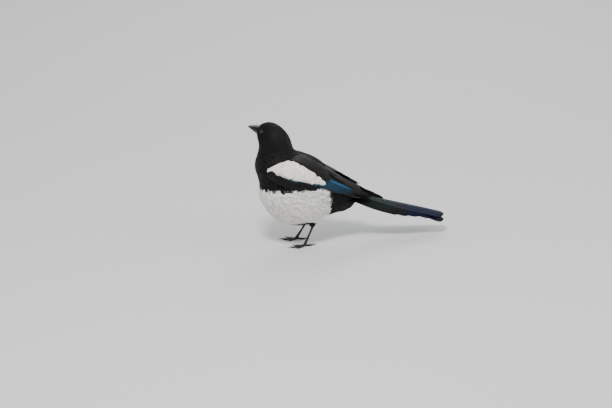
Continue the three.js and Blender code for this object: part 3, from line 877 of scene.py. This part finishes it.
def wing_paint(tier, i, count, t, v, p):
    """Colours of a wing feather: i is its place in the tier, v runs from the upper to the lower edge."""
    brown = (BROWN_BLACK + BLACK) / 2 if tier in ("dark_scapulars", "tertials") else BLACK
    shade = np.broadcast_to(brown, (*np.broadcast(t, v).shape, 3))
    outer = smooth(-0.55, -0.05, v)
    if tier == "secondaries":
        far = np.clip(0.5 * (i % 2) + 0.5 * smooth(0.6, 1.0, t), 0, 1)
        blue = mix(AZURE, DEEP_BLUE, far)
        lit = smooth(0.3, 0.6, v) * smooth(1.0, 0.78, v) * smooth(1.0, 0.93, t)
        return mix(shade, blue, 0.06 + 0.94 * lit)
    if tier == "greater_coverts":
        blue = mix(TEAL, DEEP_BLUE, smooth(0.0, 0.6, 1 - i / (count - 1)))
        return mix(shade, blue, 0.9 * outer * smooth(1.02, 0.9, t))
    if tier == "primary_coverts":
        return mix(shade, TEAL, 0.75 * outer)
    if tier == "primaries":
        sliver = smooth(-44, -38, p[..., 0]) * smooth(-16, -22, p[..., 0]) * smooth(0, 4, p[..., 1])
        sliver = sliver * smooth(2.4, 1.2, np.abs(p[..., 2] - 112.5))
        inner = mix(shade, WHITE, 0.85 * sliver)
        return mix(inner, EDGE_BROWN, 0.6 * smooth(0.8, 1.0, v) * smooth(0.2, 0.5, t))
    if tier == "tertials":
        brown = 0.8 * smooth(0.80, 0.97, v) * smooth(0.35, 0.6, t) * smooth(0.95, 0.8, t) * (i == 1) + 0.03
        gloss = mix(shade, EDGE_BROWN, brown)
        gloss = mix(gloss, DEEP_BLUE, 0.12 * smooth(0.5, -0.8, v) * smooth(0.2, 0.9, t))
        far_wing = smooth(4, 0, p[..., 1]) * smooth(0.0, 0.4, v) * smooth(0.35, 0.6, t) * (i > 0)
        return mix(gloss, AZURE, 0.8 * far_wing)
    return shade


def between(ends, s):
    """What lies a share of the way from the first end to the second."""
    first, last = np.asarray(ends, float)
    return first + (last - first) * s


def bake_cell(serial, columns, pitch, size, t, v):
    """A large feather's own cell on the unwrap, from the pitch and the size of the cells."""
    row, column = divmod(serial, columns)
    return stack(0.02 + column * pitch[0] + size[0] * (v + 1) / 2, 0.02 + row * pitch[1] + size[1] * t)


def make_wing(name, side):
    """The flight feathers and coverts of one wing."""
    far = side < 0
    back = RIGHT_WING_BACK * far
    t = (np.linspace(0, 1, FLIGHT_STEPS) ** 0.9)[:, None]
    v = np.sin(np.linspace(-math.pi / 2, math.pi / 2, FLIGHT_ACROSS))[None, :]
    outline = outline_of(t, 0.5, 0.8, 2.2)
    vanes = []
    for tier, (count, widths, depths, tilt, rise, ride, bend, roots, tips) in WING_TIERS.items():
        for i in range(count):
            s = i / (count - 1)
            root, tip = between(roots, s), between(tips, s)
            width = between(widths, s)
            reach = RIGHT_TIP_LONGER * s * (far and tier == "primaries")
            higher = RIGHT_WING_HIGHER * (far and tier in ("secondaries", "tertials"))
            x = root[0] - back + (tip[0] - reach - root[0]) * t
            phi = root[1] + (tip[1] - higher - root[1]) * t ** bend
            spread = phi + degrees_across(x, phi, width / 2) * outline * v
            shaft = 0.35 * np.exp(-(v / 0.10) ** 2) * (1 - 0.6 * t)
            level = between(depths, s) + (rise + tilt * v * outline / 2) * t + shaft
            level = level + ride * arm_height(x, spread, back)
            top, below = (on_cloak(x, spread, level + body, side) for body in (HALF_THICK, -HALF_THICK))
            serial = len(vanes)
            colours = wing_paint(tier, i, count, t, v, top) * (1 + 0.06 * math.sin(7.3 * serial))
            marks = stack(width / 2 * v * outline, (root[0] - tip[0]) * t)
            bake = bake_cell(serial, 8, (0.12, 0.12), (0.10, 0.10), t, v)
            vanes.append((top, below, colours, marks, bake))
    grown(name + "_feathers", vanes, wing_material, "wing_feathers", name, flip=far)


make_wing("wing_left", 1)
make_wing("wing_right", -1)


# Shoulder feathers: white scapulars, and dark coverts below and before them

# The upper and the lower edge of the white shoulder patch: places along x and degrees down the cloak
PATCH_X = [-32, -12, 8, 25, 42, 62, 76]
PATCH_HIGH = [80, 73, 61, 50, 32, 34, 54]
PATCH_LOW = [81, 84, 84, 83, 80, 74, 56]
SHOULDER_STEPS = (3.4, 4.2)
SHOULDER_JITTER = 1.2
SHOULDER_BODY = 0.2


def patch_mask(x, phi):
    """True on the white shoulder patch."""
    inside = (phi > np.interp(x, PATCH_X, PATCH_HIGH)) & (phi < np.interp(x, PATCH_X, PATCH_LOW))
    return inside & (x > PATCH_X[0]) & (x < PATCH_X[-1])


def shoulder_feathers(name, side):
    """White scapulars on the patch, and dark coverts on the arm around it."""
    back = RIGHT_WING_BACK * (side < 0)
    places = np.array([(x, phi) for x in np.arange(-34, 72, SHOULDER_STEPS[0])
                       for phi in np.arange(24, 124, SHOULDER_STEPS[1])])
    roots = places + random.uniform(-SHOULDER_JITTER, SHOULDER_JITTER, places.shape)
    u = (roots[:, 0] - ARM["x"]) / (ARM["length"] + 4)
    w = (roots[:, 1] - ARM["phi"] + 4) / (ARM["span"] + 8)
    white = patch_mask(roots[:, 0] - 10, roots[:, 1] + 2)
    keep = ((u * u + w * w < 1) & (roots[:, 0] > -4)) | white
    roots, white = roots[keep], white[keep]
    count = len(roots)
    length = np.where(white, 13 + 9 * smooth(-15, 25, roots[:, 0]), 12) * random.uniform(0.85, 1.15, count)
    width = np.where(white, 9 - 3 * smooth(-5, -25, roots[:, 0]), 7.5)
    t, v, share = grid_of(VANE_FORM)
    long = each(length) * t
    x = each(roots[:, 0]) - back - long
    drift = np.where(white, 3.0, 4.0) + random.normal(0, 1.5, count)
    phi = each(roots[:, 1]) + each(drift) * t
    half = degrees_across(x, phi, each(width / 2)) * share
    spread = phi + half * v
    tall = each(np.where(white, 3.2, 1.6))
    level = arm_height(x, spread, back) + (tall + 1.5) * (1 - (1 - t) ** 1.6) - 1.5
    level = level + each(np.where(white, 0.25, 0.5)) * (1 - v ** 2)
    level = level + each(random.normal(0, 0.08, count))
    top, below = (on_cloak(x, spread, level - body, side) for body in (0, SHOULDER_BODY))
    tone = (1 + 0.07 * random.normal(0, 1, count))[:, None]
    from_patch = np.abs(roots[:, 1] - np.interp(roots[:, 0] - 6, PATCH_X, PATCH_LOW))
    teal = smooth(8, 3, from_patch) * smooth(58, 44, roots[:, 0])
    colours = each(np.where(white[:, None], WARM_WHITE, mix(BLACK, TEAL, teal)) * tone)
    colours = np.broadcast_to(colours, top.shape) * (0.94 + 0.06 * t[..., None])
    arrays = top, below, colours, *marks_and_bake(half, long, t, v, (roots + [60, 0]) / 150)
    for label, mask, material, slot in (("scapulars_", white, white_material, "body_plumage"),
                                        ("lesser_coverts_", ~white, coat_material, "wing_feathers")):
        dress(vane_piece(label + name, *[a[mask] for a in arrays], flip=side < 0), material, slot)


shoulder_feathers("left", 1)
shoulder_feathers("right", -1)


# Tail

TAIL_STEPS = 40
TAIL_ACROSS = 11
tail_away = about_y(-TAIL_SLOPE) @ [-1, 0, 0]
tail_up = about_y(-TAIL_SLOPE) @ [0, 0, 1]


def at_tail(away, across, up):
    """Points at distances from the root of the tail: along it, to the left and over it."""
    return TAIL_ROOT + away[..., None] * tail_away + across[..., None] * [0, 1, 0] + up[..., None] * tail_up


def tail_paint(k, along, t, v):
    """Green, purple, blue and navy along the tail. k counts the feathers from the middle out."""
    far = along / TAIL_LENGTH * 0.7 + t * 0.3
    colour = mix(TAIL_GREEN, TAIL_PURPLE, smooth(0.46, 0.56, far))
    colour = mix(colour, TAIL_BLUE, smooth(0.58, 0.66, far))
    colour = mix(colour, TAIL_NAVY, smooth(0.90, 0.97, far))
    inner = smooth(-0.2, -0.7, v) if k else 0 * v
    return mix(colour, BLACK, np.maximum(0.75 * inner, 0.12 * k))


def make_tail():
    t = np.linspace(0, 1, TAIL_STEPS)[:, None]
    v = np.linspace(-1, 1, TAIL_ACROSS)[None, :]
    outline = TAIL_WIDTH * outline_of(t, 0.62, 0.9, 2) * (1 - 0.08 * smooth(0.7, 0.9, t))
    half = np.where(t > 0.9, outline, np.maximum(TAIL_ROOT_WIDTH * (1 - t), outline)) / 2
    shaft = 0.4 * np.exp(-(v / 0.07) ** 2) * (1 - 0.7 * t)
    vanes = []
    for side in (1, -1):
        for k, share in enumerate(TAIL_SHARES):
            along = t * TAIL_LENGTH * share
            start = 0.5 * (k + 1)
            middle = start + (TAIL_SHIFT[k] - start) * np.minimum(1, along / (0.6 * TAIL_LENGTH))
            across = middle + v * half
            roof = TAIL_ROOF * (np.hypot(across, TAIL_BOW) - TAIL_BOW)
            level = -TAIL_LAYER * (k + 0.5 * (side < 0)) - roof + shaft
            level = level - TAIL_DROOP[side][k] * smooth(0.72, 1.0, along / TAIL_LENGTH)
            top, below = (at_tail(along, side * across, level + side * body) for body in (0.2, -0.2))
            bake = bake_cell(len(vanes), 6, (0.16, 0.48), (0.14, 0.45), t, v)
            vanes.append((top, below, tail_paint(k, along, t, v), stack(v * half, along), bake))
    grown("rectrices", vanes, tail_material, "tail_feathers", "tail")


make_tail()


# Loose feathers

def free_feathers(name, form, roots, ways, outs, length, width, bow, material=coat_material):
    """Black vanes that stand free of the flesh: each runs straight from its root, with a bow."""
    t, v, share = grid_of(form)
    count = len(roots)
    ways = unit(ways)
    outs = unit(outs - ways * np.sum(outs * ways, axis=-1, keepdims=True))
    half = width / 2 * share
    long = each(length) * t
    rise = each(np.broadcast_to(bow, count)) * 4 * t * (1 - t) + 0.25 * (1 - v ** 2)
    top = (each(roots) + each(ways) * long[..., None] + each(outs) * rise[..., None]
           + each(np.cross(outs, ways)) * (half * v)[..., None])
    below = top - each(outs) * VANE_BODY
    shade = 1 + 0.06 * random.normal(0, 1, (count, 1))
    colours = np.broadcast_to(each(BLACK * shade), top.shape)
    arrays = top, below, colours, *marks_and_bake(half, long, t, v, unwrap(roots))
    dress(vane_piece(name, *arrays), material, "dark_plumage")


# Half the spread of the tail coverts, and how far they bend round the tail, at their roots and tips
COVERT_SPREAD = (24, 15)
COVERT_ROUND = (9, 6)


def make_tail_coverts(name, count, starts, lifts, lengths, tip_lift):
    """Feathers that cover the root of the tail, over it or under it."""
    over = 1 if lifts[0] > 0 else -1
    y = random.uniform(-1, 1, count)
    step = np.linspace(0, 1, count)
    start = between(starts, step)
    end = start + random.uniform(*lengths, count)
    sink = over * y ** 2
    roots = at_tail(start, COVERT_SPREAD[0] * y, between(lifts, step) - COVERT_ROUND[0] * sink)
    tips = at_tail(end, COVERT_SPREAD[1] * y, tip_lift - COVERT_ROUND[1] * sink - over * 0.8 * (1 - step))
    length = np.linalg.norm(tips - roots, axis=1)
    free_feathers(name, VANE_FORM, roots, tips - roots, over * tail_up, length, 10.0, 1.2)


def make_vent_tuft(count):
    """Feathers that leave the body behind the legs, with their roots 1 mm inside the flesh."""
    y = random.uniform(-9, 11, count)
    x = random.uniform(-74, -60, count)
    roots = field.settle(stack(x, y, 55), -1, 6)
    ways = stack(-1, -0.02 * y, random.uniform(0.02, 0.3, count))
    length = random.uniform(14, 24, count)
    free_feathers("vent_tuft", PLUME_FORM, roots, ways, np.array([0, 0, -1]), length, 5.0,
                  random.uniform(0, 1.2, count))


def make_bristles(count):
    """Stiff fine feathers from the forehead over the nostrils, and short ones at the gape."""
    y = random.uniform(-1, 1, count)
    height = random.uniform(-3.5, 6.5, count)
    half = curve(BILL_X, BILL_HALF, np.full(count, 17.0))
    arch = np.sqrt(np.clip(1 - (np.clip(height, 0, 7.3) / 7.4) ** 2, 0.02, 1))
    across = np.copysign(half * (1 - 0.3 * (1 - np.abs(y))), y) * arch
    at = stack(random.uniform(14, 19, count), across, height)
    ways = stack(1, -0.30 * np.sign(y) + random.normal(0, 0.06, count), random.normal(-0.22, 0.10, count))
    outs = stack(0.1, np.sign(y), 0.4 + 0.1 * height)
    length = random.uniform(7, 12.5, count) * (1 - 0.4 * smooth(-1, -3.5, height))
    free_feathers("bristles", WISP_FORM, in_head(at), ways @ HEAD_ROT.T, outs @ HEAD_ROT.T, length, 0.55,
                  random.uniform(0.2, 0.8, count), head_material)


def make_heel_feathers(name, leg, count):
    """Feathers that hang over the heel."""
    turn = random.uniform(0, 2 * math.pi, count)
    height = random.uniform(1, 15, count)
    radial = stack(np.cos(turn), np.sin(turn), 0)
    roots = leg["heel"] + radial * (2.6 + 0.18 * height)[:, None] + height[:, None] * [0.45, 0, 1]
    ways = unit(leg["foot"] - leg["heel"]) + 0.10 * radial + random.normal(0, 0.05, (count, 3))
    length = random.uniform(9, 13, count)
    free_feathers("heel_feathers_" + name, PLUME_FORM, roots, ways, radial, length, 3.2,
                  random.uniform(0.4, 1.0, count))


for leg_name, leg_spec in LEGS.items():
    make_heel_feathers(leg_name, leg_spec, 150)
make_tail_coverts("upper_tail_coverts", 200, (-26, 24), (17, 8), (26, 38), 2.2)
make_tail_coverts("under_tail_coverts", 60, (-4, 18), (-26, -16), (20, 30), -12.0)
make_vent_tuft(26)
make_bristles(260)


# Lofts for the bill, the eyes and the legs

def loft(rings, closed=False):
    """Points and faces through rings of points, shut at both ends or run round to the first ring."""
    rings = np.asarray(rings, float)
    count, sides = rings.shape[:2]
    i, j = np.meshgrid(np.arange(count if closed else count - 1), np.arange(sides), indexing="ij")
    here, ahead, beside = i * sides, (i + 1) % count * sides, (j + 1) % sides
    quads = stack(here + j, here + beside, ahead + beside, ahead + j).reshape(-1, 4)
    points = rings.reshape(-1, 3)
    if closed:
        return points, quads[:, [0, 3, 2, 1]], np.zeros((0, 3), int)
    ring = np.arange(sides)
    after = (ring + 1) % sides
    last = len(points) - sides
    start = stack(len(points), after, ring)
    end = stack(len(points) + 1, last + ring, last + after)
    return np.concatenate([points, rings[[0, -1]].mean(1)]), quads, np.concatenate([start, end])


def joined(name, parts, colours=None):
    """Several lofts as one piece."""
    offsets = np.cumsum([0] + [len(part[0]) for part in parts])
    quads, tris = ([part[k] + offset for part, offset in zip(parts, offsets)] for k in (1, 2))
    points = np.concatenate([part[0] for part in parts])
    return make_mesh(name, points, [np.concatenate(quads), np.concatenate(tris)], colours)


def around(count):
    """Angles that share out a full turn."""
    return np.linspace(0, 2 * math.pi, count, endpoint=False)


# Bill: half the gap of the mouth, where the hook starts, and the grooves that run from the nostrils
MOUTH_GAP = 0.17
HOOK_FROM = 46
GROOVE_DEPTH = 0.25
GROOVE_ANGLE = 0.5
GROOVE_SIZE = 0.12
GROOVE_END = 34


def bill_half(upper):
    """The upper or the lower half of the bill: each ring is an arch, and the flat that meets the other."""
    angle = np.linspace(0, math.pi, 25)
    flat = np.linspace(-0.75, 0.75, 7)
    low_angle = np.minimum(angle, math.pi - angle)
    groove = GROOVE_DEPTH * np.exp(-((low_angle - GROOVE_ANGLE) / GROOVE_SIZE) ** 2) * np.sign(np.cos(angle))
    rings = []
    for x in np.concatenate([np.linspace(8, HOOK_FROM, 30), np.linspace(46.6, 50.4, 12)]):
        top, bottom, half, mouth = (curve(BILL_X, ys, x)
                                    for ys in (BILL_TOP, BILL_BOTTOM, BILL_HALF, BILL_MOUTH))
        y = half * np.cos(angle)
        if upper:
            start = mouth + MOUTH_GAP
            hook = max(0, x - HOOK_FROM) / 4.4
            y = y - groove * (x < GROOVE_END)
            z = start + (top - start) * np.sin(angle) ** 0.8 - 0.7 * hook ** 2
        else:
            start = mouth - MOUTH_GAP
            end = start - 0.3 if x > 48.4 else bottom
            z = start + (end - start) * np.sin(angle) ** 0.8
        ring = in_head(np.concatenate([stack(x, y, z), stack(x, half * flat, start)]))
        rings.append(ring if upper else ring[::-1])
    return loft(rings)


def bill_paint(points, upper):
    """Black horn, with highlights painted pale along the ridge and along the line of the mouth, and painted
    shade in the nostrils.
    """
    at = to_head(points)
    mouth = curve(BILL_X, BILL_MOUTH, at[:, 0])
    top = curve(BILL_X, BILL_TOP, at[:, 0])
    # Painted highlights: a pale line under the mouth on the lower bill near its base, and a pale band along
    # the ridge of the upper bill
    edge = smooth(1.5, 0.5, np.abs(at[:, 2] - mouth + 0.8)) * smooth(36, 22, at[:, 0]) * (not upper)
    ridge = smooth(3.6, 1.2, top - at[:, 2]) * smooth(49, 40, at[:, 0]) * upper
    # Painted shade: the nostrils darker than the horn round them
    nostril_shade = np.linalg.norm((np.abs(at) - NOSTRIL_AT) / (2.4, 2.0, 1.1), axis=1) < 1
    return np.where(nostril_shade[:, None], BLACK / 2, mix(HORN, HORN_HIGHLIGHT, np.maximum(edge, ridge)))


for bill_name, is_upper in (("upper", True), ("lower", False)):
    part = bill_half(is_upper)
    piece = joined(bill_name + "_bill", [part], bill_paint(part[0], is_upper))
    dress(piece, bill_material, "bill", "bill_" + bill_name)


# Eyes and lids

IRIS = np.array([0.007, 0.004, 0.003])
PUPIL = np.array([0.002, 0.002, 0.002])
EYE_SIDES = 48
LID_SIDES = 72
LID_FOLDS = 24
# Each rim of lid: thickness, radius and height over the coat's skin
LIDS = [(0.62, 4.55, 0.25), (0.50, 5.30, -0.30)]
# Where pupil and iris end, in degrees from the middle of the eye
PUPIL_EDGE = (15, 18)
IRIS_EDGE = (38, 44)


def sphere_rings(sides, along):
    angle = np.linspace(0, math.pi, along + 1)[1:-1, None]
    turn = around(sides)
    return stack(np.sin(angle) * np.cos(turn), np.sin(angle) * np.sin(turn), np.cos(angle))


def make_eye(name, side):
    """A ball with iris and pupil, and two rims of wrinkled lid round it."""
    centre = in_head(EYE_AT * [1, side, 1])
    out = field.out(centre[None])[0]
    first = unit(np.cross([0, 0, 1.0], out))
    axes = np.stack([first, np.cross(out, first), out])
    ball = loft((sphere_rings(EYE_SIDES, 32) * EYE_RADIUS)[::-1] @ axes + centre)
    off_axis = np.degrees(np.arccos(np.clip(unit(ball[0] - centre) @ out, -1, 1)))
    colours = mix(PUPIL, IRIS, smooth(*PUPIL_EDGE, off_axis))
    colours = mix(colours, PUPIL, smooth(*IRIS_EDGE, off_axis))
    dress(joined(name + "_ball", [ball], colours), eye_look, "eye", name)
    level = -field.read(centre[None])[0][0]
    a = around(LID_SIDES)[:, None, None]
    b = around(12)[:, None]
    radial = np.cos(a) * axes[0] + np.sin(a) * axes[1]
    lids = []
    for lid, (size, radius, height) in enumerate(LIDS):
        thick = size * (1 + 0.12 * np.sin(LID_FOLDS * a + lid))
        middle = centre + radial * radius + out * (level + height)
        lids.append(loft(middle + thick * (np.cos(b) * radial + np.sin(b) * out), closed=True))
    dress(joined(name + "_lids", lids), lid_material, "dark_plumage")


make_eye("eye_left", 1)
make_eye("eye_right", -1)


# Legs and feet

TARSUS_RADIUS = 1.9
# Toes: angle from the way of the foot, length and length of the claw, and the places where a toe swells
TOES = [(-27, 17, 7), (0, 25, 8), (25, 18, 7), (180, 14, 9)]
TOE_PLACES = [0, 0.38, 0.52, 0.9, 1]
TOE_RADIUS = 1.9


def tube(points, radii, sides=20, squash=1.0, scutes=0.0, scute_size=2.4):
    """A thick line that stays over the floor, with scutes that swell and step along its top."""
    points, radii = np.asarray(points, float), np.asarray(radii, float)
    ways = unit(np.gradient(points, axis=0))
    travelled = np.concatenate([[0], np.cumsum(np.linalg.norm(np.diff(points, axis=0), axis=1))])
    level = np.abs(ways[:, 2:]) < 0.95
    side = unit(np.cross(np.where(level, [0, 0, 1.0], [0, 1.0, 0]), ways))[:, None]
    up = np.cross(ways[:, None], side)
    a = around(sides)[:, None]
    step = each(travelled / scute_size % 1)
    swell = 1 + scutes * np.maximum(0, np.sin(a)) ** 0.5 * (1 - step) ** 0.7
    rings = points[:, None] + each(radii) * swell * (np.cos(a) * side + squash * np.sin(a) * up)
    rings[..., 2] = np.maximum(rings[..., 2], 0)
    return loft(rings)


def toe(leg, angle, length, claw):
    """A toe with its pads, and its claw."""
    turn = about_z(leg["heading"] + angle * leg["side"])
    origin = leg["foot"] * [1, 1, 0]
    s = np.linspace(0, 1, 60)
    radius = TOE_RADIUS * np.interp(s, TOE_PLACES, [1.15, 0.86, 1.02, 0.84, 0.62])
    height = radius * 0.84 + np.interp(s, TOE_PLACES, [1.4, 0.3, 0, 0, 0.5])
    line = stack(s * length, 0, height) @ turn.T + origin
    flesh = tube(line, radius, scutes=0.10, scute_size=length / 9)
    c = np.linspace(0, 1, 24)
    arc = length - 0.8 + (claw + 0.8) * c
    lift = height[-1] + 1.5 * np.sin(math.pi * c * 0.9) * 0.9 - (height[-1] - 0.35) * c ** 2
    radius = TOE_RADIUS * (0.50 * (1 - c) ** 0.7 + 0.06)
    line = stack(arc, 0, np.maximum(lift, radius + 0.02)) @ turn.T + origin
    return flesh, tube(line, radius, sides=14, squash=1.2)


def make_leg(name, leg):
    heel, foot = leg["heel"], leg["foot"]
    s = np.linspace(0.02, 1.0, 90)
    radius = TARSUS_RADIUS * np.interp(s, [0, 0.1, 0.26, 0.66, 0.9, 1.0], [1.5, 1.25, 0.98, 0.92, 1.2, 1.45])
    shank = tube(heel + (foot - heel) * s[:, None], radius, scutes=0.16, scute_size=3.4)
    dress(joined("shank_" + name, [shank]), leg_material, "leg", "tarsus_" + name)
    toes, claws = zip(*[toe(leg, *spec) for spec in TOES])
    ball = tube(foot + np.outer([1.5, 0, -1.6, -2.4], [0, 0, 1]), [2.6, 3.0, 2.9, 2.2])
    dress(joined("toes_" + name, [ball, *toes]), leg_material, "leg", "foot_" + name)
    dress(joined("claws_" + name, claws), claw_material, "leg")


for leg_name, leg_spec in LEGS.items():
    make_leg(leg_name, leg_spec)


# Floor, light and camera

CAMERA_TARGET = np.array([-7.8, 2.1, 73.8])
CAMERA_AZIMUTH = 15
CAMERA_ELEVATION = 18
CAMERA_DISTANCE = 7000
FRAME_WIDTH = 1100
SENSOR = 36
FLOOR_HALF = 3000
LIGHT_TARGET = np.array([0, 0, 0.1])


def make_stage():
    """The floor and the sky."""
    corners = FLOOR_HALF * np.array([(-1, -1, 0), (1, -1, 0), (1, 1, 0), (-1, 1, 0)])
    floor = make_mesh("floor", corners, [[[0, 1, 2, 3]]])
    floor.data.materials.append(Look("pale_floor", Base_Color=(0.62, 0.62, 0.60, 1), Roughness=0.9).material)
    world = bpy.data.worlds.new("studio")
    world.use_nodes = True
    sky = world.node_tree.nodes["Background"]
    sky.inputs["Color"].default_value = (0.92, 0.95, 1.0, 1)
    sky.inputs["Strength"].default_value = 0.75
    bpy.context.scene.world = world


def make_light(name, place, size, power):
    light = bpy.data.lights.new(name, "AREA")
    light.size = size
    light.energy = power
    lamp = new_object(name, light)
    lamp.location = place
    aim = unit(LIGHT_TARGET - place)
    lamp.rotation_euler = (math.acos(-aim[2]), 0, math.atan2(aim[0], -aim[1]) + math.pi)


def make_camera():
    azimuth, elevation = math.radians(CAMERA_AZIMUTH), math.radians(CAMERA_ELEVATION)
    level = math.cos(elevation)
    way = np.array([math.sin(azimuth) * level, math.cos(azimuth) * level, math.sin(elevation)])
    data = bpy.data.cameras.new("camera")
    data.sensor_width = SENSOR
    data.lens = SENSOR * CAMERA_DISTANCE / FRAME_WIDTH
    camera = new_object("camera", data)
    camera.location = (CAMERA_TARGET + shift + way * CAMERA_DISTANCE) * MM
    camera.rotation_euler = (math.radians(90 - CAMERA_ELEVATION), 0, math.radians(180 - CAMERA_AZIMUTH))
    bpy.context.scene.camera = camera


make_stage()
make_light("key", (0.7, 1.3, 2.2), 0.5, 62)
make_light("fill", (-1.6, 1.0, 1.2), 1.5, 14)
make_light("back", (-0.6, -1.8, 1.8), 1.2, 26)
make_camera()
